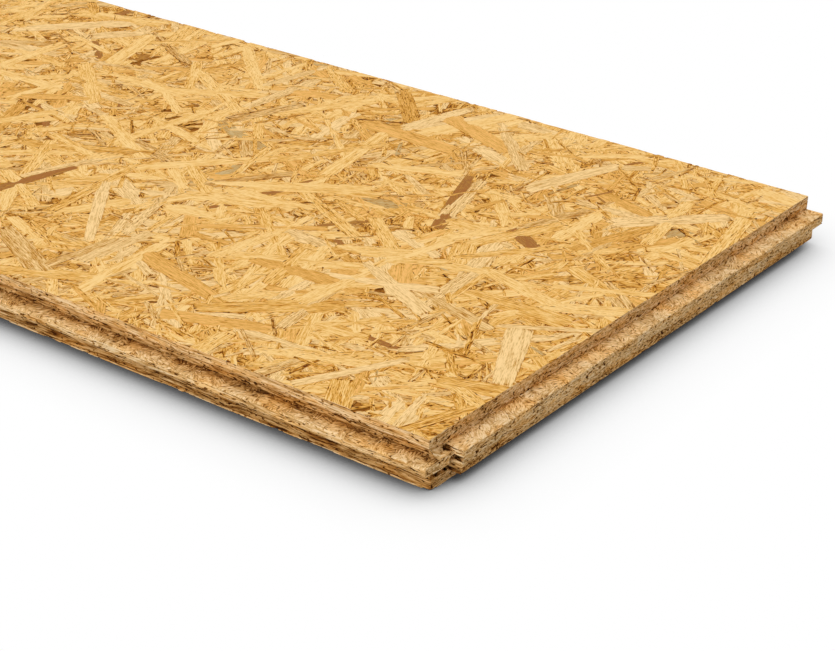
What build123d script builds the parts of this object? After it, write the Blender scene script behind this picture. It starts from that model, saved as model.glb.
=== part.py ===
from build123d import *
import os

# Tongue and groove floor panel of pressed wood strands, one piece, lying flat.
# +X points out of the end that carries a tongue, -Y out of the long side that carries one.
# The origin is under the middle of the overall box, tongues included.

# Cover size: what one panel covers once it is pushed home, joint to joint
panel_thickness = 25.0
cover_length = 1220.0
cover_width = 320.0

# Profile of the long side that has the tongue, heights counted down from the top face
long_lip_height = 5.0
long_relief_depth = 0.6
long_relief_slope = 0.4
long_shoulder_drop = 8.5
long_tongue_reach = 9.0
long_tongue_tip_top = 8.7
long_tongue_tip_bottom = 13.0
long_tongue_root_bottom = 13.4
long_tongue_chamfer = 0.6

# Profile of the end that has the tongue
end_lip_height = 7.5
end_lip_lean = 0.3
end_tongue_reach = 9.2
end_tongue_chamfer = 0.5
end_tongue_split = 13.6
end_tongue_lower_reach = 8.3
end_tongue_bottom = 19.2
end_lower_lip_proud = 0.7

# Corner between the two tongues, where the end tongue is trimmed for the next row
end_tongue_trim = 11.2
long_tongue_overrun = 4.9
corner_web_top = 5.2

# Far end of the end tongue, where its lower part stops short
end_tongue_far_trim = 8.5

# Fit of tongue in groove
groove_side_clearance = 0.3
groove_end_clearance = 1.0
lower_lip_setback = 0.5
trim_clearance = 0.6

# Places worked out from the sizes above
overall_length = cover_length + end_tongue_reach
overall_width = cover_width + long_tongue_reach
x_groove_end = -overall_length / 2
x_tongue_end = x_groove_end + cover_length
y_groove_side = overall_width / 2
y_tongue_side = y_groove_side - cover_width
z_top = panel_thickness


def below_top(drop):
    """Height of a point that lies this far below the top face."""
    return z_top - drop


def section(plane, points):
    """Closed flat section in the given plane."""
    return plane * make_face(Polyline(*points, close=True))


def along_x(points, x_from, x_to):
    """Bar with a section given as (y, z) points, between two X places."""
    plane = Plane(origin=(x_from, 0, 0), x_dir=(0, 1, 0), z_dir=(1, 0, 0))
    return extrude(section(plane, points), amount=x_to - x_from)


def along_y(points, y_from, y_to):
    """Bar with a section given as (x, z) points, between two Y places."""
    plane = Plane(origin=(0, y_to, 0), x_dir=(1, 0, 0), z_dir=(0, -1, 0))
    return extrude(section(plane, points), amount=y_to - y_from)


def long_tongue_points():
    """Outline of the long side from the top edge down to the bottom edge, tongue included."""
    relief_y = y_tongue_side + long_relief_depth
    tip_y = y_tongue_side - long_tongue_reach
    chamfer_y = tip_y + long_tongue_chamfer
    return [
        (y_tongue_side, z_top),
        (y_tongue_side, below_top(long_lip_height)),
        (relief_y, below_top(long_lip_height + long_relief_slope)),
        (relief_y, below_top(long_shoulder_drop)),
        (chamfer_y, below_top(long_tongue_tip_top)),
        (tip_y, below_top(long_tongue_tip_top + long_tongue_chamfer)),
        (tip_y, below_top(long_tongue_tip_bottom - long_tongue_chamfer)),
        (chamfer_y, below_top(long_tongue_tip_bottom)),
        (y_tongue_side, below_top(long_tongue_root_bottom)),
        (y_tongue_side, 0),
    ]


def long_groove_points():
    """Outline of the grooved long side from the bottom edge up to the top edge."""
    floor_y = y_groove_side - long_tongue_reach - groove_end_clearance
    lower_y = y_groove_side - lower_lip_setback
    return [
        (lower_y, 0),
        (lower_y, below_top(long_tongue_root_bottom + groove_side_clearance)),
        (floor_y, below_top(long_tongue_tip_bottom + groove_side_clearance)),
        (floor_y, below_top(long_tongue_tip_top - groove_side_clearance)),
        (y_groove_side, below_top(long_shoulder_drop - groove_side_clearance)),
        (y_groove_side, z_top),
    ]


def panel_body():
    """The panel between its two ends, with the tongue and the groove of its long sides."""
    return along_x(long_tongue_points() + long_groove_points(), x_groove_end, x_tongue_end)


def end_lip_lean_cut():
    """Thin wedge that lets the lip of the tongue end lean in towards its foot."""
    points = [
        (x_tongue_end, z_top),
        (x_tongue_end, below_top(end_lip_height)),
        (x_tongue_end - end_lip_lean, below_top(end_lip_height)),
    ]
    return along_y(points, y_tongue_side, y_groove_side)


def end_tongue():
    """Tongue across the end: a full-length upper part and a lower part that stops short."""
    root_x = x_tongue_end - end_lip_lean
    tip_x = x_tongue_end + end_tongue_reach
    lower_x = x_tongue_end + end_tongue_lower_reach
    y_start = y_tongue_side + end_tongue_trim
    upper = [
        (root_x, below_top(end_lip_height)),
        (tip_x - end_tongue_chamfer, below_top(end_lip_height)),
        (tip_x, below_top(end_lip_height + end_tongue_chamfer)),
        (tip_x, below_top(end_tongue_split - end_tongue_chamfer)),
        (lower_x, below_top(end_tongue_split)),
        (root_x, below_top(end_tongue_split)),
    ]
    lower = [
        (root_x, below_top(end_tongue_split)),
        (lower_x, below_top(end_tongue_split)),
        (lower_x, below_top(end_tongue_bottom - end_tongue_chamfer)),
        (lower_x - end_tongue_chamfer, below_top(end_tongue_bottom)),
        (root_x, below_top(end_tongue_bottom)),
    ]
    upper_bar = along_y(upper, y_start, y_groove_side)
    lower_bar = along_y(lower, y_start, y_groove_side - end_tongue_far_trim)
    return upper_bar + lower_bar


def end_lower_lip():
    """Foot of the tongue end, which stands a little proud of the lip above it."""
    points = [
        (x_tongue_end, 0),
        (x_tongue_end + end_lower_lip_proud, 0),
        (x_tongue_end + end_lower_lip_proud, below_top(end_tongue_bottom)),
        (x_tongue_end, below_top(end_tongue_bottom)),
    ]
    return along_y(points, y_tongue_side, y_groove_side - lower_lip_setback)


def corner_bar():
    """Stub of the long tongue that runs on past the end, as far in as the end tongue."""
    x_tip = x_tongue_end + long_tongue_overrun
    tongue = long_tongue_points()[3:9]
    inner_y = y_tongue_side + end_tongue_trim
    inner = [(inner_y, below_top(long_tongue_root_bottom)), (inner_y, below_top(long_shoulder_drop))]
    return along_x(tongue + inner, x_tongue_end - end_lip_lean, x_tip)


def corner_web(spread=0.0):
    """Sliver left by the cutters between the lip and the corner bar, as a low pyramid."""
    x_foot = x_tongue_end - end_lip_lean
    x_out = x_tongue_end + long_tongue_overrun + spread
    y_foot = y_tongue_side - spread
    z_foot = below_top(long_shoulder_drop)
    top = (x_foot, y_foot, below_top(corner_web_top - spread))
    out = (x_out, y_foot, z_foot)
    inner = (x_foot, y_tongue_side + end_tongue_trim + spread, z_foot)
    foot = (x_foot, y_foot, z_foot)
    faces = [
        make_face(Polyline(top, out, inner, close=True)),
        make_face(Polyline(top, foot, out, close=True)),
        make_face(Polyline(top, inner, foot, close=True)),
        make_face(Polyline(foot, inner, out, close=True)),
    ]
    return Solid(Shell(faces))


def end_groove_cut():
    """Groove across the hidden end, one clearance larger than the end tongue all round."""
    floor_x = x_groove_end + end_tongue_reach + groove_end_clearance
    points = [
        (x_groove_end, below_top(end_lip_height - groove_side_clearance)),
        (floor_x, below_top(end_lip_height - groove_side_clearance)),
        (floor_x, below_top(end_tongue_bottom + groove_side_clearance)),
        (x_groove_end, below_top(end_tongue_bottom + groove_side_clearance)),
    ]
    return along_y(points, -overall_width / 2, overall_width / 2)


def corner_web_pocket():
    """Hollow under the lip of the hidden end, which takes the next panel's sliver."""
    return corner_web(groove_side_clearance).moved(Location((-cover_length, 0, 0)))


def end_lower_lip_cut():
    """Slice that sets the lower lip of the hidden end back, so that the top joint closes."""
    x_lip = x_groove_end + end_lower_lip_proud + lower_lip_setback
    points = [
        (x_groove_end, 0),
        (x_lip, 0),
        (x_lip, below_top(end_tongue_bottom)),
        (x_groove_end, below_top(end_tongue_bottom)),
    ]
    return along_y(points, -overall_width / 2, overall_width / 2)


def long_tongue_end_trim():
    """Notch at the hidden end of the long tongue, which clears the next panel's stub."""
    points = [
        (y_tongue_side - long_tongue_reach, z_top),
        (y_tongue_side, z_top),
        (y_tongue_side, 0),
        (y_tongue_side - long_tongue_reach, 0),
    ]
    return along_x(points, x_groove_end, x_groove_end + long_tongue_overrun + trim_clearance)


def build_panel():
    """The whole panel as one solid."""
    panel = panel_body() - end_lip_lean_cut()
    panel += end_tongue()
    panel += end_lower_lip()
    panel += corner_bar()
    panel += corner_web()
    panel -= end_groove_cut()
    panel -= corner_web_pocket()
    panel -= end_lower_lip_cut()
    panel -= long_tongue_end_trim()
    return panel


osb_panel = build_panel()
osb_panel.label = "osb_panel"
os.makedirs("parts", exist_ok=True)
export_step(osb_panel, "parts/osb_panel.step")
print("osb_panel", round(osb_panel.volume / 1e6, 3), "litres", osb_panel.bounding_box())
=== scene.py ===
import math

import bmesh
import bpy
import numpy
from mathutils import Euler, Matrix, Vector, noise
from mathutils.bvhtree import BVHTree


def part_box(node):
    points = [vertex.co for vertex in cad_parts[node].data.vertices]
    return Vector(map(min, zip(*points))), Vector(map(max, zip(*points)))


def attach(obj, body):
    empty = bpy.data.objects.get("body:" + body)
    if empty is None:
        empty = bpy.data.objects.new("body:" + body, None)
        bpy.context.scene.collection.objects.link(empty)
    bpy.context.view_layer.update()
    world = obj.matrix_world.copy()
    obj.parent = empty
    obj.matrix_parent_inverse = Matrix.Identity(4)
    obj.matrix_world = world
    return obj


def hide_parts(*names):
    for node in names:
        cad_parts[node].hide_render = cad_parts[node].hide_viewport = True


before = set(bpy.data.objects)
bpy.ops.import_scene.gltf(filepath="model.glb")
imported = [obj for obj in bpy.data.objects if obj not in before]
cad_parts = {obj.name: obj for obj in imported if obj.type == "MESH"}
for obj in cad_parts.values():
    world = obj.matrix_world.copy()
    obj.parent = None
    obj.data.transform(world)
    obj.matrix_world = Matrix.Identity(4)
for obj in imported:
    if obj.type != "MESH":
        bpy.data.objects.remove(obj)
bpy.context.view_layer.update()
mm = 0.001
near = 0.01 * mm                 # heights closer than this are the same
touching = 0.001 * mm
cutting = 0.0001 * mm            # how near a cut comes to a point before it goes through it
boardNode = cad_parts["osb_panel"]
boardLow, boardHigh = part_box("osb_panel")


def faceBorder(height):
    # the rectangle of the flat face at this height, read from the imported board
    level = [v.co for v in boardNode.data.vertices if abs(v.co.z - height) < near]
    low = Vector((min(c.x for c in level), min(c.y for c in level), height))
    high = Vector((max(c.x for c in level), max(c.y for c in level), height))
    return low, high


topLow, topHigh = faceBorder(boardHigh.z)
baseLow, baseHigh = faceBorder(boardLow.z)
print("frame read: top face", [round(1000 * v) for v in (*topLow, *topHigh)], "mm")


# Small helpers for node trees

def addNode(tree, kind, links=None, **settings):
    # a node with its settings, and each input either linked or given a value
    made = tree.nodes.new(kind)
    for name, value in settings.items():
        setattr(made, name, value)
    for key, value in (links or {}).items():
        if isinstance(value, bpy.types.NodeSocket):
            tree.links.new(value, made.inputs[key])
        else:
            made.inputs[key].default_value = value
    return made


def maths(tree, operation, first, second=None, third=None):
    given = {i: v for i, v in enumerate((first, second, third)) if v is not None}
    return addNode(tree, "ShaderNodeMath", given, operation=operation).outputs[0]


def plus(tree, first, second):
    return maths(tree, "ADD", first, second)


def minus(tree, first, second):
    return maths(tree, "SUBTRACT", first, second)


def times(tree, first, *others):
    product = first
    for factor in others:
        product = maths(tree, "MULTIPLY", product, factor)
    return product


def vectorMaths(tree, operation, first, second):
    return addNode(tree, "ShaderNodeVectorMath", {0: first, 1: second}, operation=operation).outputs[0]


def combine(tree, x, y, z):
    return addNode(tree, "ShaderNodeCombineXYZ", {0: x, 1: y, 2: z}).outputs[0]


def separate(tree, vector):
    return addNode(tree, "ShaderNodeSeparateXYZ", {0: vector}).outputs


def noiseOn(tree, vector, detail=2.0, roughness=0.5):
    inputs = {"Vector": vector, "Scale": 1.0, "Detail": detail, "Roughness": roughness}
    return addNode(tree, "ShaderNodeTexNoise", inputs).outputs[0]


def span(tree, value, fromLow, fromHigh, toLow, toHigh):
    # value carried from one range to another and held there
    inputs = {0: value, 1: fromLow, 2: fromHigh, 3: toLow, 4: toHigh}
    return addNode(tree, "ShaderNodeMapRange", inputs).outputs[0]


def swung(tree, level, pattern, swing):
    # a level moved up and down by a pattern, about the pattern's middle
    return maths(tree, "MULTIPLY_ADD", minus(tree, pattern, 0.5), swing, level)


def turnedFlat(tree, vector, angle):
    inputs = {"Vector": vector, "Angle": angle}
    return addNode(tree, "ShaderNodeVectorRotate", inputs, rotation_type="Z_AXIS").outputs[0]


def srgb(red, green, blue):
    # a colour written as 0 to 255 screen values
    steps = [c / 255 for c in (red, green, blue)]
    return tuple(c / 12.92 if c <= 0.04045 else ((c + 0.055) / 1.055) ** 2.4 for c in steps) + (1.0,)


def ramp(tree, value, stops):
    made = addNode(tree, "ShaderNodeValToRGB", {0: value})
    marks = made.color_ramp.elements
    while len(marks) < len(stops):
        marks.new(0.5)
    for mark, (place, colour) in zip(marks, stops):
        mark.position = place
        mark.color = srgb(*colour)
    return made.outputs[0]


def mixColour(tree, share, first, second, blend="MIX"):
    inputs = {0: share, 6: first, 7: second}
    return addNode(tree, "ShaderNodeMix", inputs, data_type="RGBA", blend_type=blend).outputs[2]


def newMaterial(name):
    made = bpy.data.materials.new(name)
    made.use_nodes = True
    return made, made.node_tree, made.node_tree.nodes["Principled BSDF"]


def voronoiOn(tree, vector, feature):
    inputs = {"Vector": vector, "Scale": 1.0}
    return addNode(tree, "ShaderNodeTexVoronoi", inputs, feature=feature).outputs


def attribute(tree, name, output="Fac"):
    return addNode(tree, "ShaderNodeAttribute", attribute_name=name).outputs[output]


def objectPlace(tree):
    return addNode(tree, "ShaderNodeTexCoord").outputs["Object"]


def setFinish(tree, surface, f, colour, height, patches=None):
    # colour, bump and roughness of a finish, the roughness swinging with a slow pattern if there is one
    tree.links.new(colour, surface.inputs["Base Color"])
    inputs = {"Height": height, "Strength": f["bump"], "Distance": f["bumpHeight"]}
    tree.links.new(addNode(tree, "ShaderNodeBump", inputs).outputs[0], surface.inputs["Normal"])
    surface.inputs["Roughness"].default_value = f["roughness"]
    surface.inputs["Specular IOR Level"].default_value = 0.04
    if patches:
        least = f["roughness"] - f["roughnessSwing"]
        most = f["roughness"] + f["roughnessSwing"]
        tree.links.new(span(tree, patches, 0.3, 0.7, least, most), surface.inputs["Roughness"])


# Finish of the strands on the two broad faces

# A range of four carries a pattern or a distance from its first two values to its last two.

strandFinish = {
    # patterns of the grain: length along a strand, width across it, offset from the others, detail
    "blotches": (20 * mm, 3.6 * mm, 31.0, 2.0),
    "fibres": (11 * mm, 0.62 * mm, 0.0, 3.0),
    "hairs": (3.2 * mm, 0.42 * mm, 83.0, 2.0),
    "flecks": (2.8 * mm, 0.6 * mm, 57.0, 2.0),   # short dark pores in the grain
    "tears": (4.0 * mm, 1.15 * mm, 11.0, 2.0),   # where a strand's edges and ends are broken
    "wobble": 0.35,
    # levels, as places on the ramp of tones
    "brightest": 0.93,
    "dimmed": 0.20,              # how far the other strands lie below the brightest
    "darkened": 0.20,            # how far the few darkest fall below that
    "blotchSwing": 0.62,
    "fibreSwing": 1.45,
    "hairSwing": 1.35,
    "pores": (0.42, 0.30, 0.0, 1.0),
    "poreFall": (0.2, 1.0, 0.16, 0.68),          # from strand to strand
    "tornBack": (0.56, 0.74, 0.0, 1.15 * mm),    # how far the tears reach in from an edge
    # dark near the edges: nearest and farthest distance, where tears run high from and to, fall
    "smear": (0.0, 1.6 * mm, 0.46, 0.62, 0.10),
    # painted shade of small gaps along the strands' edges and, below, at their ends
    "gap": (-0.15 * mm, 0.12 * mm, 0.57, 0.63, 0.34),
    "endGapShade": (0.3 * mm, 1.5 * mm, 0.50, 0.57, 0.52),
    # painted shade and dust: the deeper a strand lies, the darker it is
    "sunkShadeAndDust": (0.16 * mm, 0.62 * mm, 0.0, 0.07),
    # a thin painted contact shadow along the strands' sides
    "rimShadow": (0.0, 0.45 * mm, 0.12, 0.0),
    "tones": [                   # from the bottom of a gap to the palest summer wood
        (0.00, (76, 30, 0)), (0.14, (136, 74, 8)), (0.30, (184, 120, 32)), (0.45, (210, 150, 60)),
        (0.58, (225, 169, 82)), (0.70, (234, 183, 101)), (0.82, (241, 195, 118)),
        (1.00, (248, 209, 141)),
    ],
    "dyes": [                    # other woods: colour, draws that take it from and to, strength
        ((220, 150, 48), 0.00, 0.10, 0.5),       # amber
        ((236, 202, 148), 0.13, 0.36, 0.55),     # pale
        ((146, 82, 28), 0.40, 0.412, 0.90),      # bark
        ((176, 154, 112), 0.70, 0.706, 0.7),     # grey
    ],
    "dyeShade": (0.2, 1.0, 0.2, 1.15),           # keeps the grain in a dyed strand
    "dyeGrip": (0.35, 0.8, 0.15, 1.0),           # keeps its dark grain brown
    "roughness": 0.75,
    "roughnessSwing": 0.08,
    "bump": 0.3,
    "bumpHeight": 0.06 * mm,
}


def strandMaterial():
    made, tree, surface = newMaterial("pressed_strands")
    f = strandFinish
    along, across, seed = separate(tree, attribute(tree, "strandGrain", "Vector"))
    endAway, sideAway, down = separate(tree, attribute(tree, "strandEdge", "Vector"))
    tone = attribute(tree, "strandTone")

    def pattern(length, width, offset, detail):
        # grain that runs along the strand and wanders a little across it
        wander = noiseOn(tree, combine(tree, times(tree, along, f["wobble"] / length), seed, offset))
        shifted = maths(tree, "MULTIPLY_ADD", wander, 2.0 * width, across)
        place = combine(
            tree,
            times(tree, along, 1 / length),
            times(tree, shifted, 1 / width),
            plus(tree, seed, offset),
        )
        return noiseOn(tree, place, detail)

    def draw(factor):
        # a number between 0 and 1 for each strand, from its seed
        return maths(tree, "FRACT", times(tree, seed, factor))

    blotches = pattern(*f["blotches"])
    fibres = pattern(*f["fibres"])
    hairs = pattern(*f["hairs"])
    flecks = pattern(*f["flecks"])
    tears = pattern(*f["tears"])

    def nearEdge(distance, closest, farthest, low, high, fall):
        # dark close to the edge, only where the tears run high
        close = span(tree, distance, closest, farthest, 1.0, 0.0)
        return times(tree, close, span(tree, tears, low, high, 0.0, fall))

    dim = minus(tree, 1.0, tone)
    level = maths(tree, "MULTIPLY_ADD", dim, -f["dimmed"], f["brightest"])
    level = maths(tree, "MULTIPLY_ADD", maths(tree, "POWER", dim, 7.0), -f["darkened"], level)
    level = swung(tree, level, blotches, f["blotchSwing"])
    level = swung(tree, level, fibres, f["fibreSwing"])
    level = swung(tree, level, hairs, f["hairSwing"])
    pores = times(tree, span(tree, flecks, *f["pores"]), span(tree, draw(3.17), *f["poreFall"]))
    level = minus(tree, level, pores)
    nearest = maths(tree, "MINIMUM", times(tree, endAway, 0.6), sideAway)
    sound = minus(tree, nearest, span(tree, tears, *f["tornBack"]))
    level = minus(tree, level, nearEdge(sound, *f["smear"]))
    # painted shade of small gaps at the strands' broken edges and ends
    gapShade = maths(tree, "MAXIMUM", nearEdge(sound, *f["gap"]), nearEdge(endAway, *f["endGapShade"]))
    level = minus(tree, level, gapShade)
    # deeper strands darker, as painted shade and dust
    level = minus(tree, level, span(tree, down, *f["sunkShadeAndDust"]))
    # painted contact shadow along the strands' sides
    level = minus(tree, level, span(tree, sideAway, *f["rimShadow"]))
    colour = ramp(tree, level, f["tones"])
    kind = draw(7.31)
    shade = span(tree, level, *f["dyeShade"])
    grip = span(tree, level, *f["dyeGrip"])
    for target, low, high, share in f["dyes"]:
        chosen = times(tree, maths(tree, "GREATER_THAN", kind, low), maths(tree, "LESS_THAN", kind, high))
        inputs = {0: srgb(*target)[:3], 3: shade}
        shaded = addNode(tree, "ShaderNodeVectorMath", inputs, operation="SCALE").outputs[0]
        colour = mixColour(tree, times(tree, chosen, share, grip), colour, shaded)
    height = plus(tree, fibres, times(tree, hairs, 0.6))
    setFinish(tree, surface, f, colour, height, blotches)
    return made


# Finish of what the cutters have opened: tongues, grooves and sawn ends

milledFinish = {
    # patterns: size along the long side, along the end and up, offset from the others, detail
    "layers": ((22 * mm, 6 * mm, 0.8 * mm), 0.0, 2.0),       # strands cut across, seen as thin lenses
    "dashes": ((7 * mm, 1.8 * mm, 0.5 * mm), 7.0, 2.0),
    "specks": ((2.6 * mm, 2.1 * mm, 0.8 * mm), 19.0, 1.0),   # dark holes between the cut strands
    "clusters": ((16 * mm, 12 * mm, 3 * mm), 29.0, 1.0),     # where those holes crowd
    "broad": ((30 * mm, 26 * mm, 4 * mm), 3.0, 1.0),
    "hue": ((20 * mm, 16 * mm, 3 * mm), 41.0, 2.0),
    "waves": (40 * mm, 14 * mm, 5 * mm),                     # bends of the layers
    "waveHeight": 4.0 * mm,
    # levels, as places on the ramp of tones
    "plain": 0.80,
    "layerSwing": 1.1,
    "dashSwing": 1.8,
    "broadSwing": 0.6,
    "holeStart": (0.35, 0.65, 0.43, 0.33),                   # from few holes to many
    "holeFall": (0.02, -0.05, 0.0, 0.64),
    # how far the painted shade of pits, holes and overhung places darkens
    "recessShadeFall": 0.42,
    "tones": [
        (0.00, (66, 34, 10)), (0.16, (110, 68, 28)), (0.34, (154, 106, 50)), (0.50, (190, 142, 81)),
        (0.66, (212, 166, 104)), (0.82, (228, 186, 127)), (1.00, (244, 212, 164)),
    ],
    "goldenTint": (255, 232, 184),
    "goldenShare": (0.50, 0.66, 0.0, 0.7),
    "greyTint": (236, 238, 240),
    "greyShare": (0.46, 0.34, 0.0, 0.6),
    "roughness": 0.85,
    "roughnessSwing": 0.06,
    "bump": 0.6,
    "bumpHeight": 0.22 * mm,
}
ledgeFinish = {
    "patch": 6 * mm,             # strands cut flat, each with its own run of the grain
    "patchBend": 10 / 3 * mm,
    # patterns of the grain: length, width, offset from the others, detail
    "fibres": (3 * mm, 0.6 * mm, 0.0, 3.0),
    "streaks": (5 * mm, 1.1 * mm, 13.0, 2.0),
    "specks": (2.4 * mm, 0.8 * mm, 27.0, 1.0),
    # levels, as places on the ramp of tones
    "plain": 0.88,
    "patchSwing": 0.22,
    "fibreSwing": 1.7,
    "streakSwing": 0.7,
    "borderFall": (0.07, 0.0, 0.0, 0.3),
    "borderBreaks": (0.4, 0.6, 0.0, 1.0),
    "speckFall": (0.40, 0.32, 0.0, 0.5),
}


def stretchedNoise(tree, place, size, offset, detail):
    scaled = vectorMaths(tree, "DIVIDE", place, size)
    moved = vectorMaths(tree, "ADD", scaled, (offset, 2 * offset, 3 * offset))
    return noiseOn(tree, moved, detail, 0.55)


def finishMilled(tree, surface, level, height):
    # painted shade darkens the pits, torn holes and overhung places; greyer and golden stretches change
    # places along the board
    f = milledFinish
    level = minus(tree, level, times(tree, attribute(tree, "recessShade"), f["recessShadeFall"]))
    colour = ramp(tree, level, f["tones"])
    hue = stretchedNoise(tree, objectPlace(tree), *f["hue"])
    golden = mixColour(tree, 1.0, colour, srgb(*f["goldenTint"]), "MULTIPLY")
    colour = mixColour(tree, span(tree, hue, *f["goldenShare"]), colour, golden)
    greyer = mixColour(tree, 1.0, colour, srgb(*f["greyTint"]), "MULTIPLY")
    colour = mixColour(tree, span(tree, hue, *f["greyShare"]), colour, greyer)
    setFinish(tree, surface, f, colour, height, hue)


def milledMaterial():
    # upright cuts, which show the strands end on as thin dashes in layers
    made, tree, surface = newMaterial("milled_strands")
    f = milledFinish
    flat = objectPlace(tree)
    slow = vectorMaths(tree, "MULTIPLY", flat, tuple(1 / size for size in f["waves"]))
    lift = times(tree, minus(tree, noiseOn(tree, slow, 1.0), 0.5), f["waveHeight"])
    place = vectorMaths(tree, "ADD", flat, combine(tree, 0.0, 0.0, lift))
    layers = stretchedNoise(tree, place, *f["layers"])
    dashes = stretchedNoise(tree, place, *f["dashes"])
    specks = stretchedNoise(tree, place, *f["specks"])
    clusters = stretchedNoise(tree, place, *f["clusters"])
    level = swung(tree, f["plain"], layers, f["layerSwing"])
    level = swung(tree, level, dashes, f["dashSwing"])
    level = swung(tree, level, stretchedNoise(tree, place, *f["broad"]), f["broadSwing"])
    start = span(tree, clusters, *f["holeStart"])
    dark = span(tree, minus(tree, specks, start), *f["holeFall"])
    height = minus(tree, plus(tree, dashes, layers), dark)
    finishMilled(tree, surface, minus(tree, level, dark), height)
    return made


def ledgeMaterial():
    # level cuts, which show patches of strands lying flat
    made, tree, surface = newMaterial("milled_ledges")
    f = ledgeFinish
    place = objectPlace(tree)
    wide = vectorMaths(tree, "MULTIPLY", place, (1 / f["patch"],) * 3)
    bend = noiseOn(tree, vectorMaths(tree, "MULTIPLY", place, (1 / f["patchBend"],) * 3), 1.0)
    patches = vectorMaths(tree, "ADD", wide, combine(tree, bend, times(tree, bend, -0.7), 0.0))
    turning, shifting, shading = separate(tree, voronoiOn(tree, patches, "F1")["Color"])
    border = voronoiOn(tree, patches, "DISTANCE_TO_EDGE")["Distance"]
    turned = turnedFlat(tree, place, times(tree, turning, math.pi))
    ahead, aside = separate(tree, turned)[:2]

    def grain(length, width, offset, detail):
        spot = combine(
            tree,
            times(tree, ahead, 1 / length),
            times(tree, aside, 1 / width),
            maths(tree, "MULTIPLY_ADD", shifting, 40.0, offset),
        )
        return noiseOn(tree, spot, detail)

    fibres = grain(*f["fibres"])
    streaks = grain(*f["streaks"])
    level = swung(tree, f["plain"], shading, f["patchSwing"])
    level = swung(tree, level, fibres, f["fibreSwing"])
    level = swung(tree, level, streaks, f["streakSwing"])
    edge = times(tree, span(tree, border, *f["borderFall"]), span(tree, streaks, *f["borderBreaks"]))
    level = minus(tree, level, edge)
    dark = span(tree, grain(*f["specks"]), *f["speckFall"])
    height = minus(tree, plus(tree, fibres, streaks), dark)
    finishMilled(tree, surface, minus(tree, level, dark), height)
    return made


# Finish of the bed seen through the gaps between strands, painted dark as the shade deep in the gaps

shadedBedFinish = {
    "mottle": 2.5 * mm,
    # painted shade of the deep gaps
    "tones": [(0.3, (124, 68, 16)), (0.7, (176, 116, 44))],
    "roughness": 0.9,
    "bump": 0.6,
    "bumpHeight": 0.3 * mm,
}


def shadedBedMaterial():
    made, tree, surface = newMaterial("painted_shade_bed")
    f = shadedBedFinish
    place = vectorMaths(tree, "MULTIPLY", objectPlace(tree), (1 / f["mottle"],) * 3)
    mottle = noiseOn(tree, place, 3.0)
    setFinish(tree, surface, f, ramp(tree, mottle, f["tones"]), mottle)
    return made


strandSkin = strandMaterial()
milledSkin = milledMaterial()
ledgeSkin = ledgeMaterial()
shadedBedSkin = shadedBedMaterial()
print("materials ready")


# Strands on the broad faces: thin closed wafers scattered by a node tree

strandKinds = {                  # density is strands to the square metre
    "bed": {
        "density": 1700, "Length": 92 * mm, "Length Spread": 24 * mm, "Width": 21 * mm,
        "Width Spread": 7 * mm, "Shallowest": 0.38 * mm, "Deepest": 0.54 * mm, "Tilt": 0.06 * mm,
        "Cuts Along": 5, "Cuts Across": 2,
    },
    "chips": {
        "density": 8500, "Length": 34 * mm, "Length Spread": 22 * mm, "Width": 5 * mm,
        "Width Spread": 3 * mm, "Shallowest": 0.12 * mm, "Deepest": 0.36 * mm, "Tilt": 0.12 * mm,
        "Cuts Along": 6, "Cuts Across": 3,
    },
    "fines": {
        "density": 15000, "Length": 13 * mm, "Length Spread": 9 * mm, "Width": 1.7 * mm,
        "Width Spread": 1.0 * mm, "Shallowest": 0.07 * mm, "Deepest": 0.24 * mm, "Tilt": 0.08 * mm,
        "Cuts Along": 4, "Cuts Across": 2,
    },
    "broad": {
        "density": 2100, "Length": 56 * mm, "Length Spread": 30 * mm, "Width": 8.5 * mm,
        "Width Spread": 5 * mm, "Shallowest": 0.03 * mm, "Deepest": 0.22 * mm, "Tilt": 0.12 * mm,
        "Cuts Along": 8, "Cuts Across": 4,
    },
    "slivers": {
        "density": 3000, "Length": 26 * mm, "Length Spread": 17 * mm, "Width": 2.4 * mm,
        "Width Spread": 1.4 * mm, "Shallowest": 0.02 * mm, "Deepest": 0.14 * mm, "Tilt": 0.08 * mm,
        "Cuts Along": 6, "Cuts Across": 2,
    },
}
strandBody = {
    "thickness": 0.36 * mm,
    "bedDepth": 0.85 * mm,       # depth of the dark bed under the face
    "rimDrop": 0.06 * mm,        # how far the press has pushed a strand's rim below its middle
    "ragged": 0.7 * mm,          # least length of the splinters at a strand's ends
    "samples": 70,               # places on a strand where its cover is tested
    "sampleSpread": 0.4,         # below 1 puts more of them near its rim
    "coverReach": 3 * mm,        # how far above a strand others are looked for
    "clear": 0.02 * mm,
}
strandShape = {
    "slim": 0.4,                 # how much wider one end may be than the other
    "slant": 0.45,               # of the sawn ends, as a share of the width
    "bow": 0.03,                 # sideways bend, as a share of the length
    "taper": 0.10,               # narrowing towards both ends
    "edgeWander": 0.16,
    "faceWander": 0.5,
    "splinter": 0.32,            # length of the splinters on a wide strand, as a share of its width
    "splinterWander": 1.4,
    "crowding": 0.6,             # below 1 brings the cuts nearer to the ends
    "leastDepth": 0.00004 * mm,  # grows with a strand's seed, so that no two tops share a level
}


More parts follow.
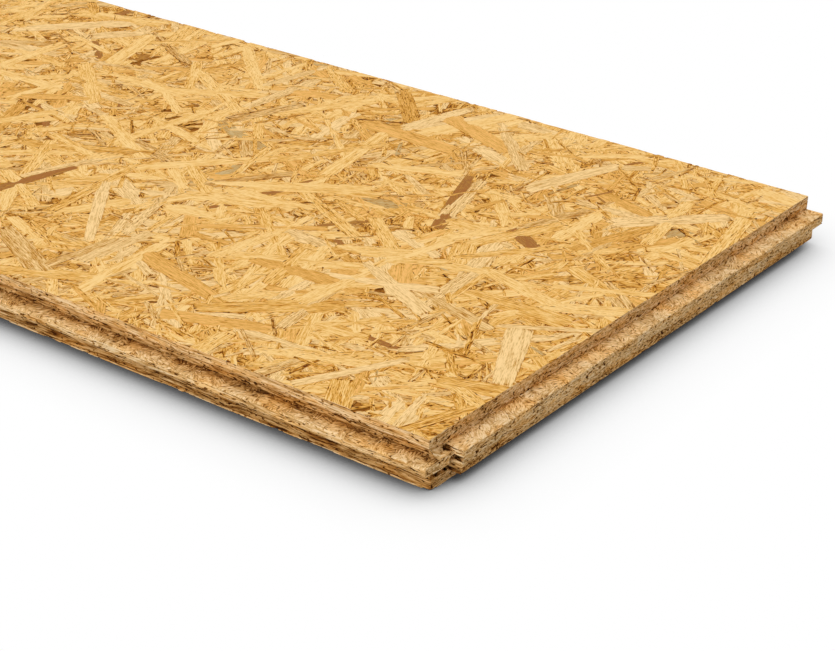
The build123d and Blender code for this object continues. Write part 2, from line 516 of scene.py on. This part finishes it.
def strandTree():
    tree = bpy.data.node_groups.new("scatter_strands", "GeometryNodeTree")
    inputs = [
        ("Low Corner", "Vector"), ("High Corner", "Vector"), ("Strand Count", "Int"), ("Length", "Float"),
        ("Length Spread", "Float"), ("Width", "Float"), ("Width Spread", "Float"),
        ("Thickness", "Float"), ("Shallowest", "Float"), ("Deepest", "Float"), ("Tilt", "Float"),
        ("Rim Drop", "Float"), ("Ragged", "Float"), ("Cuts Along", "Int"), ("Cuts Across", "Int"),
        ("Seed", "Int"), ("Finish", "Material"),
    ]
    for name, kind in inputs:
        tree.interface.new_socket(name=name, in_out="INPUT", socket_type="NodeSocket" + kind)
    tree.interface.new_socket(name="Geometry", in_out="OUTPUT", socket_type="NodeSocketGeometry")
    given = addNode(tree, "NodeGroupInput").outputs
    s = strandShape

    def chance(low, high, step, kind="FLOAT"):
        # a random number or vector for each strand, from the seed and this draw's own step
        first, drawn = (0, 0) if kind == "FLOAT_VECTOR" else (2, 1)
        inputs = {"Seed": plus(tree, given["Seed"], step), first: low, first + 1: high}
        return addNode(tree, "FunctionNodeRandomValue", inputs, data_type=kind).outputs[drawn]

    def around(middle, spread, step):
        # middle plus or minus spread, most often near the middle
        draws = plus(tree, chance(-0.5, 0.5, step), chance(-0.5, 0.5, step + 1))
        return maths(tree, "MULTIPLY_ADD", draws, spread, middle)

    def keep(geometry, name, value, kind="FLOAT"):
        # a value stored on the strands under a name, for the shape and for the finish
        inputs = {"Geometry": geometry, "Name": name, "Value": value}
        made = addNode(tree, "GeometryNodeStoreNamedAttribute", inputs, data_type=kind, domain="POINT")
        return made.outputs[0]

    def kept(name, kind="FLOAT"):
        return addNode(tree, "GeometryNodeInputNamedAttribute", {"Name": name}, data_type=kind).outputs[0]

    def here():
        return addNode(tree, "GeometryNodeInputPosition").outputs[0]

    def wander(first, second, offset):
        # smooth noise about zero that differs from strand to strand
        spot = combine(tree, first, second, plus(tree, seed, offset))
        return minus(tree, noiseOn(tree, spot, 1.0), 0.5)

    # one point for each strand, with its draws
    inputs = {
        "Count": given["Strand Count"],
        "Position": chance(given["Low Corner"], given["High Corner"], 1, "FLOAT_VECTOR"),
    }
    strands = addNode(tree, "GeometryNodePoints", inputs).outputs[0]
    size = combine(
        tree,
        around(given["Length"], given["Length Spread"], 2),
        around(given["Width"], given["Width Spread"], 4),
        given["Thickness"],
    )
    lie = combine(
        tree,
        chance(-math.pi, math.pi, 6),
        chance(given["Shallowest"], given["Deepest"], 7),
        chance(-s["bow"], s["bow"], 8),
    )
    tilt = combine(tree, chance(-1.0, 1.0, 9), chance(-1.0, 1.0, 10), chance(-s["slant"], s["slant"], 11))
    strands = keep(strands, "strandSize", size, "FLOAT_VECTOR")
    strands = keep(strands, "strandLie", lie, "FLOAT_VECTOR")
    strands = keep(strands, "strandTilt", tilt, "FLOAT_VECTOR")
    strands = keep(strands, "strandSeed", chance(0.0, 500.0, 12))
    strands = keep(strands, "strandTone", chance(0.0, 1.0, 13))
    strands = keep(strands, "strandSlim", chance(-s["slim"], s["slim"], 14))

    # a unit block on each point, cut into a grid
    inputs = {
        "Size": (1, 1, 1),
        "Vertices X": given["Cuts Along"],
        "Vertices Y": given["Cuts Across"],
        "Vertices Z": 2,
    }
    block = addNode(tree, "GeometryNodeMeshCube", inputs).outputs[0]
    inputs = {"Points": strands, "Instance": keep(block, "strandUnit", here(), "FLOAT_VECTOR")}
    placed = addNode(tree, "GeometryNodeInstanceOnPoints", inputs).outputs[0]
    whole = addNode(tree, "GeometryNodeRealizeInstances", {0: placed}).outputs[0]

    # the block drawn out into a strand
    unit = kept("strandUnit", "FLOAT_VECTOR")
    evenAlong, unitAcross, unitUp = separate(tree, unit)
    length, width, thickness = separate(tree, kept("strandSize", "FLOAT_VECTOR"))
    turn, depth, bow = separate(tree, kept("strandLie", "FLOAT_VECTOR"))
    tiltAlong, tiltAcross, slant = separate(tree, kept("strandTilt", "FLOAT_VECTOR"))
    seed = kept("strandSeed")
    centre = separate(tree, vectorMaths(tree, "SUBTRACT", here(), unit))
    halfWay = times(tree, maths(tree, "ABSOLUTE", evenAlong), 2.0)
    outward = times(tree, maths(tree, "POWER", halfWay, s["crowding"]), 0.5)
    unitAlong = times(tree, outward, maths(tree, "SIGN", evenAlong))
    square = times(tree, unitAlong, unitAlong)
    endward = times(tree, square, square, 16.0)                   # 0 in the middle, 1 at both ends
    side = times(tree, unitAcross, 9.0)
    edge = times(tree, wander(times(tree, unitAlong, 3.0), side, 0.0), s["edgeWander"])
    taper = maths(tree, "MULTIPLY_ADD", endward, -s["taper"], 1.0)
    taper = times(tree, taper, maths(tree, "MULTIPLY_ADD", kept("strandSlim"), unitAlong, 1.0))
    acrossShare = maths(tree, "MULTIPLY_ADD", unitAcross, taper, edge)
    across = maths(tree, "MULTIPLY_ADD", acrossShare, width, times(tree, square, bow, length))
    splinter = maths(tree, "MULTIPLY_ADD", width, s["splinter"], given["Ragged"])
    ragged = times(tree, wander(times(tree, unitAlong, 20.0), side, 90.0), splinter, s["splinterWander"])
    ends = times(tree, plus(tree, ragged, times(tree, slant, unitAcross, width)), endward)
    along = maths(tree, "MULTIPLY_ADD", unitAlong, length, ends)

    # how far down it lies
    lean = plus(tree, times(tree, tiltAlong, unitAlong), times(tree, tiltAcross, unitAcross, 0.5))
    wave = times(tree, wander(times(tree, unitAlong, 4.0), unitAcross, 40.0), s["faceWander"])
    lean = times(tree, plus(tree, lean, wave), given["Tilt"])
    rim = maths(tree, "MULTIPLY_ADD", times(tree, unitAcross, unitAcross), 4.0, endward)
    sunk = plus(tree, plus(tree, depth, lean), times(tree, rim, given["Rim Drop"]))
    sunk = maths(tree, "MAXIMUM", sunk, times(tree, seed, s["leastDepth"]))
    down = plus(tree, sunk, times(tree, minus(tree, 0.5, unitUp), thickness))

    flat = turnedFlat(tree, combine(tree, along, across, 0.0), turn)
    laid = vectorMaths(tree, "ADD", flat, combine(tree, centre[0], centre[1], times(tree, down, -1.0)))
    endAway = times(tree, minus(tree, 0.5, outward), length)
    sideAway = times(tree, minus(tree, 0.5, maths(tree, "ABSOLUTE", unitAcross)), width)
    whole = keep(whole, "strandGrain", combine(tree, along, across, seed), "FLOAT_VECTOR")
    whole = keep(whole, "strandEdge", combine(tree, endAway, sideAway, down), "FLOAT_VECTOR")
    whole = addNode(tree, "GeometryNodeSetPosition", {"Geometry": whole, "Position": laid}).outputs[0]
    inputs = {"Geometry": whole, "Material": given["Finish"]}
    whole = addNode(tree, "GeometryNodeSetMaterial", inputs).outputs[0]
    tree.links.new(whole, addNode(tree, "NodeGroupOutput").inputs[0])
    return tree


scatter = strandTree()


def layStrands(kind, low, high, seed, share):
    # one kind of strand over a rectangle, as a plain mesh whose face lies at height zero
    values = dict(strandKinds[kind])
    overrun = 0.5 * values["Length"]
    values["Low Corner"] = Vector((low.x - overrun, low.y - overrun, 0))
    values["High Corner"] = Vector((high.x + overrun, high.y + overrun, 0))
    laid = values["High Corner"] - values["Low Corner"]
    values["Strand Count"] = round(share * values.pop("density") * laid.x * laid.y)
    values["Thickness"] = strandBody["thickness"]
    values["Rim Drop"] = strandBody["rimDrop"]
    values["Ragged"] = strandBody["ragged"]
    values["Seed"] = seed
    values["Finish"] = strandSkin
    holder = bpy.data.objects.new("strand_holder", bpy.data.meshes.new("strand_holder"))
    bpy.context.scene.collection.objects.link(holder)
    modifier = holder.modifiers.new("Scatter", "NODES")
    modifier.node_group = scatter
    for socket in scatter.interface.items_tree:
        if socket.in_out == "INPUT":
            modifier[socket.identifier] = values[socket.name]
    ready = holder.evaluated_get(bpy.context.evaluated_depsgraph_get())
    plain = bpy.data.meshes.new_from_object(ready)
    holder.modifiers.remove(modifier)
    bpy.data.objects.remove(holder)
    return plain


def dropHidden(part, kind, cover, low, high):
    # deletes the strands of this kind that lie outside the border or wholly under other strands
    perStrand = 2 * strandKinds[kind]["Cuts Along"] * strandKinds[kind]["Cuts Across"]
    total = len(part.vertices)
    places = numpy.empty(3 * total, numpy.float32)
    units = numpy.empty(3 * total, numpy.float32)
    part.vertices.foreach_get("co", places)
    part.attributes["strandUnit"].data.foreach_get("vector", units)
    places = places.reshape(-1, perStrand, 3)
    upper = numpy.flatnonzero(units.reshape(-1, perStrand, 3)[0, :, 2] > 0)
    rims = places[:, upper]
    chance = numpy.random.default_rng(5)
    spread = numpy.full(len(upper), strandBody["sampleSpread"])
    shares = chance.dirichlet(spread, strandBody["samples"]).astype(numpy.float32)
    tops = numpy.einsum("sv,nvc->nsc", shares, rims)
    tops[:, :, 2] = rims[:, :, 2].max(axis=1, keepdims=True)      # on the highest level of the strand
    inside = (tops[:, :, 0] > low.x) & (tops[:, :, 0] < high.x)
    inside &= (tops[:, :, 1] > low.y) & (tops[:, :, 1] < high.y)
    up = Vector((0, 0, 1))
    hidden = []
    for index in range(len(tops)):
        for point in tops[index][inside[index]]:
            above = Vector(point.tolist()) + strandBody["clear"] * up
            if cover.ray_cast(above, up, strandBody["coverReach"])[0] is None:
                break
        else:
            hidden.append(index)
    work = bmesh.new()
    work.from_mesh(part)
    work.verts.ensure_lookup_table()
    dead = [v for i in hidden for v in work.verts[i * perStrand:(i + 1) * perStrand]]
    bmesh.ops.delete(work, geom=dead, context="VERTS")
    work.to_mesh(part)
    work.free()
    print("  ", kind, len(tops) - len(hidden), "strands show of", len(tops))


def coverFace(low, high, seed, share):
    # every kind of strand over one face, less those that nothing shows of
    laid = {}
    for step, kind in enumerate(strandKinds):
        laid[kind] = layStrands(kind, low, high, seed + 100 * step, 1.0 if kind == "bed" else share)
    whole = bmesh.new()
    for part in laid.values():
        whole.from_mesh(part)
    cover = BVHTree.FromBMesh(whole)
    whole.free()
    for kind, part in laid.items():
        dropHidden(part, kind, cover, low, high)
    return laid


# Relief of the cut faces, one function for the strands' sawn ends and for the milled board

relief = {
    "even": 0.03 * mm,           # least depth of a cut face under its true plane
    "swell": 0.06 * mm,
    "swellLength": 6 * mm,
    "swellHeight": 0.9 * mm,
    "pit": 1.3 * mm,             # holes where the cutter pulled a strand out
    "pitLength": 3.6 * mm,
    "pitHeight": 1.0 * mm,
    "pitStart": 0.40,
}


def noiseAt(point, length, height, shift=0):
    return noise.noise(Vector((point.x / length + shift, point.y / length, point.z / height)))


def reliefAt(point):
    # how deep a cut face lies under its true plane at this point
    swell = noiseAt(point, relief["swellLength"], relief["swellHeight"])
    pit = noiseAt(point, relief["pitLength"], relief["pitHeight"], 40)
    depth = relief["even"] + relief["swell"] * (0.5 + 0.5 * swell)
    if pit > relief["pitStart"]:
        depth += relief["pit"] * (pit - relief["pitStart"]) / (1 - relief["pitStart"])
    return depth


def trimStrands(mesh, low, high):
    # saws the strands off at the board's border, closes each cut and roughens it
    work = bmesh.new()
    work.from_mesh(mesh)
    planes = [
        (Vector((low.x, 0, 0)), Vector((-1, 0, 0))), (Vector((high.x, 0, 0)), Vector((1, 0, 0))),
        (Vector((0, low.y, 0)), Vector((0, -1, 0))), (Vector((0, high.y, 0)), Vector((0, 1, 0))),
    ]
    for place, outward in planes:
        everything = work.verts[:] + work.edges[:] + work.faces[:]
        cut = bmesh.ops.bisect_plane(
            work, geom=everything, dist=cutting, plane_co=place, plane_no=outward, clear_outer=True)
        rims = [e for e in cut["geom_cut"] if isinstance(e, bmesh.types.BMEdge) and e.is_boundary]
        caps = bmesh.ops.holes_fill(work, edges=rims, sides=0)["faces"]
        for cap in caps:
            cap.material_index = 1
    for place, outward in planes:
        for vertex in work.verts:
            if abs((vertex.co - place).dot(outward)) < touching:
                vertex.co -= outward * reliefAt(vertex.co)
    bmesh.ops.recalc_face_normals(work, faces=work.faces)
    work.to_mesh(mesh)
    work.free()


def makeStrands(name, laid, low, high, height):
    # some kinds of strand of one face as one mesh, facing up or turned over to face down
    work = bmesh.new()
    for part in laid:
        work.from_mesh(part)
    for face in work.faces:
        face.material_index = 0
    mesh = bpy.data.meshes.new(name)
    work.to_mesh(mesh)
    work.free()
    mesh.materials.append(strandSkin)
    mesh.materials.append(milledSkin)
    turn = Matrix() if height > 0 else Matrix.Rotation(math.pi, 4, "X")
    mesh.transform(Matrix.Translation((0, 0, height)) @ turn)
    trimStrands(mesh, low, high)
    for spent in ("strandUnit", "strandSize", "strandLie", "strandTilt", "strandSeed", "strandSlim"):
        if spent in mesh.attributes:
            mesh.attributes.remove(mesh.attributes[spent])
    piece = bpy.data.objects.new(name, mesh)
    bpy.context.scene.collection.objects.link(piece)
    print(name, "has", sum(len(p.vertices) - 2 for p in mesh.polygons), "triangles")
    return piece


# The board under the strands, its tongues and grooves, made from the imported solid

board = {
    "fineAlong": 1.9 * mm,       # mesh cells, longer along the side that they are on
    "fineAcross": 0.52 * mm,
    "lipAlong": 2.6 * mm,
    "lipAcross": 0.65 * mm,
    "hiddenAlong": 5.0 * mm,
    "hiddenAcross": 1.3 * mm,
    "smallFace": 30 * mm,        # a face no longer than this has fine cells both ways
    "fineReach": 20 * mm,        # faces farther than this from the grooved sides have fine cells
    "lipReach": 1.5 * mm,        # faces nearer than this are the grooves' lips
    "broadArea": 0.1,            # square metres
    "levelFrom": 0.7,            # upward part of a ledge's normal
    "leastNormal": 1e-6,
    "shadeFullDepth": 0.9 * mm,        # depth at which the painted shade of a pit or torn place is darkest
    "shadeMost": 1.8,
    "sharpAngle": 35,            # degrees
}
tongueCorner = Vector((topHigh.x, topLow.y, topHigh.z))
tears = [                        # torn holes at the corner of the two tongues: place, reach, depth
    ((6.3, 11.2, -12.4), (2.6, 1.0, 2.1), 8.0),
    ((4.9, 9.9, -12.6), (1.0, 1.9, 1.2), 2.8),
    ((1.5, 10.4, -8.6), (2.6, 1.6, 2.0), 2.4),
    ((0.2, 5.3, -18.4), (1.1, 2.4, 1.1), 2.6),
    ((0.3, 10.8, -18.6), (1.1, 1.3, 1.2), 2.6),
]


def tearAt(point):
    # how deep the holes of the corner go at this point
    depth = 0
    for place, reach, deepest in tears:
        away = point - tongueCorner - Vector(place) * mm
        share = sum((away[i] / (reach[i] * mm)) ** 2 for i in range(3))
        if share < 1:
            depth = max(depth, deepest * mm * (1 - share) ** 0.3)
    return depth


def held(value, low, high):
    return min(high, max(low, value))


def paintedShadeAt(point):
    # darkness painted by place in mm from the tongues' corner: shade under the lips and tongues, at the
    # ledges' roots and on the foot under the stub
    out, inward, up = (point - tongueCorner) / mm
    if out > -0.5 and inward > 0.7:              # the end that has a tongue
        if up > -7.4:                            # its lip, darker towards the bottom, and painted shade on the sliver below it
            return -0.02 * up if out < 0.4 else 0.45
        if up < -17 and inward < 11:             # its foot beside the long tongue's stub, in painted shadow under the stub
            return held(1.0 + 0.35 * (up + 18), 0.25, 1.0)
        if up > -8.8:                            # painted shade on the top of its tongue, fading from the root, and on the stub
            return 0.5 if inward < 11 else max(0.0, 0.35 - 0.1 * out)
        # painted shade on the lower part of its tongue, darker towards the bottom
        return held(0.22 * (-14.8 - up), 0.0, 0.45)
    if out < 5.2 and inward < 0.7:               # the long side that has a tongue
        if up < -13.8 and inward > -0.5:         # painted shade on its foot under the tongue, darkest near the floor
            return 0.75 + 0.12 * max(0.0, -22 - up)
        if -8.4 < up < -5.2:                     # painted shade in the relief under its lip
            return 0.62
        if -8.9 < up < -8.3:                     # painted shade on the top of its tongue, darkest at the root
            return max(0.12, 1.2 + 0.18 * inward)
    return 0.0


def halveFace(face, axis, place):
    # splits a flat face where a plane across the axis meets its outline, if it meets it just twice
    marks = [v for v in face.verts if abs(v.co[axis] - place) < cutting]
    for edge in list(face.edges):
        first, second = edge.verts
        start, end = first.co[axis] - place, second.co[axis] - place
        if start * end < 0 and min(abs(start), abs(end)) >= cutting:
            marks.append(bmesh.utils.edge_split(edge, first, start / (start - end))[1])
    return bmesh.utils.face_split(face, marks[0], marks[1])[0] if len(marks) == 2 else None


def cutFace(face, axis, places):
    # cuts a face at these places, the middle one first, so that every cut meets a short outline
    if not places:
        return [face]
    middle = len(places) // 2
    other = halveFace(face, axis, places[middle])
    if other is None:
        return [face]
    below, above = sorted((face, other), key=lambda part: part.calc_center_median()[axis])
    return cutFace(below, axis, places[:middle]) + cutFace(above, axis, places[middle + 1:])


def cutGrid(face, steps):
    # cuts a face into cells of about the given size along each axis
    cells = [face]
    for axis, step in enumerate(steps):
        values = [v.co[axis] for cell in cells for v in cell.verts]
        low, high = min(values), max(values)
        count = max(1, round((high - low) / step))
        places = [low + (high - low) * i / count for i in range(1, count)]
        cells = [part for cell in cells for part in cutFace(cell, axis, places)]


def makeBoard():
    work = bmesh.new()
    work.from_mesh(boardNode.data)
    bmesh.ops.remove_doubles(work, verts=work.verts, dist=touching)
    bmesh.ops.dissolve_limit(work, angle_limit=math.radians(0.5), verts=work.verts, edges=work.edges)
    for vertex in work.verts:
        if vertex.co.z > boardHigh.z - near:
            vertex.co.z -= strandBody["bedDepth"]
        elif vertex.co.z < boardLow.z + near:
            vertex.co.z += strandBody["bedDepth"]
    work.normal_update()
    broad = [f for f in work.faces if abs(f.normal.z) > 0.99 and f.calc_area() > board["broadArea"]]
    # the broad faces under the strands take the bed that is painted dark as shade
    for face in broad:
        face.material_index = 1
    sides = [f for f in work.faces if f.material_index == 0]

    def reach(face, axis):
        values = [v.co[axis] for v in face.verts]
        return max(values) - min(values)

    groups = {}
    for face in sides:
        lengthwise = reach(face, 0) >= reach(face, 1)
        middle = face.calc_center_bounds()
        depth = topHigh.y - middle.y if lengthwise else middle.x - topLow.x
        if max(reach(face, 0), reach(face, 1)) < board["smallFace"]:
            kind = "small"
        elif depth > board["fineReach"]:
            kind = "fine"
        else:
            kind = "lip" if depth < board["lipReach"] else "hidden"
        groups.setdefault((kind, lengthwise), []).append(face)
    for (kind, lengthwise), faces in groups.items():
        if kind == "small":
            along = across = board["fineAcross"]
        else:
            along, across = board[kind + "Along"], board[kind + "Across"]
        for face in faces:
            cutGrid(face, (along, across, across) if lengthwise else (across, along, across))
    work.normal_update()
    for face in work.faces:
        if face.material_index == 0 and abs(face.normal.z) > board["levelFrom"]:
            face.material_index = 2
    shadeLayer = work.verts.layers.float.new("recessShade")
    moves = []
    for vertex in work.verts:
        facing = [f.normal for f in vertex.link_faces if f.material_index != 1]
        outward = sum(facing, Vector())
        if outward.length > board["leastNormal"]:
            depth = reliefAt(vertex.co) + tearAt(vertex.co)
            # painted shade: deeper pits and holes are darker, and overhung places are darker by place
            darkness = depth / board["shadeFullDepth"] + paintedShadeAt(vertex.co)
            vertex[shadeLayer] = min(board["shadeMost"], darkness)
            moves.append((vertex, outward.normalized() * -depth))
    for vertex, move in moves:
        vertex.co += move
    mesh = bpy.data.meshes.new("milled_board")
    work.to_mesh(mesh)
    work.free()
    for skin in (milledSkin, shadedBedSkin, ledgeSkin):
        mesh.materials.append(skin)
    for polygon in mesh.polygons:
        polygon.use_smooth = tearAt(polygon.center) == 0
    mesh.set_sharp_from_angle(angle=math.radians(board["sharpAngle"]))
    piece = bpy.data.objects.new("milled_board", mesh)
    bpy.context.scene.collection.objects.link(piece)
    print("milled_board has", sum(len(p.vertices) - 2 for p in mesh.polygons), "triangles")
    return piece


def dressFace(side, low, high, height, seed, share):
    # the strands of one face in three pieces
    flip = 1 if height > 0 else -1
    nearSide, farSide = sorted((flip * low.y, flip * high.y))
    laid = coverFace(Vector((low.x, nearSide, 0)), Vector((high.x, farSide, 0)), seed, share)
    return [
        makeStrands("strands_" + side, (laid["bed"], laid["broad"]), low, high, height),
        makeStrands("chips_" + side, (laid["chips"],), low, high, height),
        makeStrands("fines_" + side, (laid["fines"], laid["slivers"]), low, high, height),
    ]


faces = {                        # corners, height, seed, share of the full number of loose strands
    "top": (topLow, topHigh, boardHigh.z, 11, 1.0),
    "base": (baseLow, baseHigh, 0.0, 1011, 0.50),
}
pieces = [makeBoard()]
for side, values in faces.items():
    pieces += dressFace(side, *values)
for piece in pieces:
    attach(piece, "root")
    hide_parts("osb_panel")
print("board dressed")


# Studio: white floor, soft light from in front and behind, and the camera

studio = {
    "floorSide": 12.0,
    "floorColour": (0.62, 0.62, 0.62, 1),
    "shadeReach": 0.045,         # how near the board the painted shadow darkens the floor
    "shadeDepth": 1.38,
    "shadeCurve": 1.5,
    "shadeLeast": 0.03,
    "skyLevel": 0.30,
    "lamps": {                   # light on a level face, where it comes from, degrees across
        "front_light": (0.40, (0.30, -1.25, 1.0), 50.0),
        "back_light": (0.30, (-0.50, 0.62, 1.0), 60.0),
    },
}
photoCamera = {
    "place": (1.0792, -0.7712, 0.46996),
    "heading": 37.94,            # degrees from +Y towards -X
    "pitch": 26.80,              # degrees below the horizon
    "focal": 2170.5 / 835,       # of the picture's width
}


def shownRays(tree):
    # 1 for what the camera sees, directly, in a gloss or through glass
    rays = addNode(tree, "ShaderNodeLightPath").outputs
    seen = maths(tree, "MAXIMUM", rays["Is Camera Ray"], rays["Is Glossy Ray"])
    return maths(tree, "MAXIMUM", seen, rays["Is Transmission Ray"])


def makeFloor():
    mesh = bpy.data.meshes.new("studio_floor")
    half = studio["floorSide"] / 2
    corners = [(-half, -half, 0), (half, -half, 0), (half, half, 0), (-half, half, 0)]
    mesh.from_pydata(corners, [], [(0, 1, 2, 3)])
    floor = bpy.data.objects.new("studio_floor", mesh)
    bpy.context.scene.collection.objects.link(floor)
    made = bpy.data.materials.new("studio_floor")
    made.use_nodes = True
    tree = made.node_tree
    tree.nodes.clear()
    matt = addNode(tree, "ShaderNodeBsdfDiffuse", {"Color": studio["floorColour"]}).outputs[0]
    # the camera, directly or in a gloss, sees the floor as a glow with a painted shadow that darkens it
    # where ambient occlusion finds the board near; other rays see the plain matt floor
    nearby = addNode(tree, "ShaderNodeAmbientOcclusion", {"Distance": studio["shadeReach"]}, samples=16)
    shade = maths(tree, "POWER", minus(tree, 1.0, nearby.outputs["AO"]), studio["shadeCurve"])
    shown = maths(tree, "MULTIPLY_ADD", shade, -studio["shadeDepth"], 1.0)
    shown = maths(tree, "MAXIMUM", shown, studio["shadeLeast"])
    glow = addNode(tree, "ShaderNodeEmission", {"Strength": shown}).outputs[0]
    both = addNode(tree, "ShaderNodeMixShader", {0: shownRays(tree), 1: matt, 2: glow}).outputs[0]
    addNode(tree, "ShaderNodeOutputMaterial", {"Surface": both})
    mesh.materials.append(made)


def makeLight():
    world = bpy.data.worlds.new("studio_sky")
    bpy.context.scene.world = world
    world.use_nodes = True
    tree = world.node_tree
    strength = span(tree, shownRays(tree), 0.0, 1.0, studio["skyLevel"], 1.0)
    tree.links.new(strength, tree.nodes["Background"].inputs["Strength"])
    tree.nodes["Background"].inputs["Color"].default_value = (1, 1, 1, 1)
    for name, (level, source, spread) in studio["lamps"].items():
        lamp = bpy.data.lights.new(name, "SUN")
        direction = Vector(source).normalized()
        lamp.energy = math.pi * level / direction.z
        lamp.angle = math.radians(spread)
        hung = bpy.data.objects.new(name, lamp)
        bpy.context.scene.collection.objects.link(hung)
        hung.rotation_euler = direction.to_track_quat("Z", "Y").to_euler()


def makeCamera():
    lens = bpy.data.cameras.new("photo_camera")
    lens.sensor_width = 36.0
    lens.lens = lens.sensor_width * photoCamera["focal"]
    lens.clip_start = 0.05
    camera = bpy.data.objects.new("photo_camera", lens)
    bpy.context.scene.collection.objects.link(camera)
    camera.location = photoCamera["place"]
    turn = (math.radians(90 - photoCamera["pitch"]), 0, math.radians(photoCamera["heading"]))
    camera.rotation_euler = Euler(turn)
    bpy.context.scene.camera = camera


makeFloor()
makeLight()
makeCamera()
bpy.context.scene.view_settings.view_transform = "Standard"
print("studio ready")
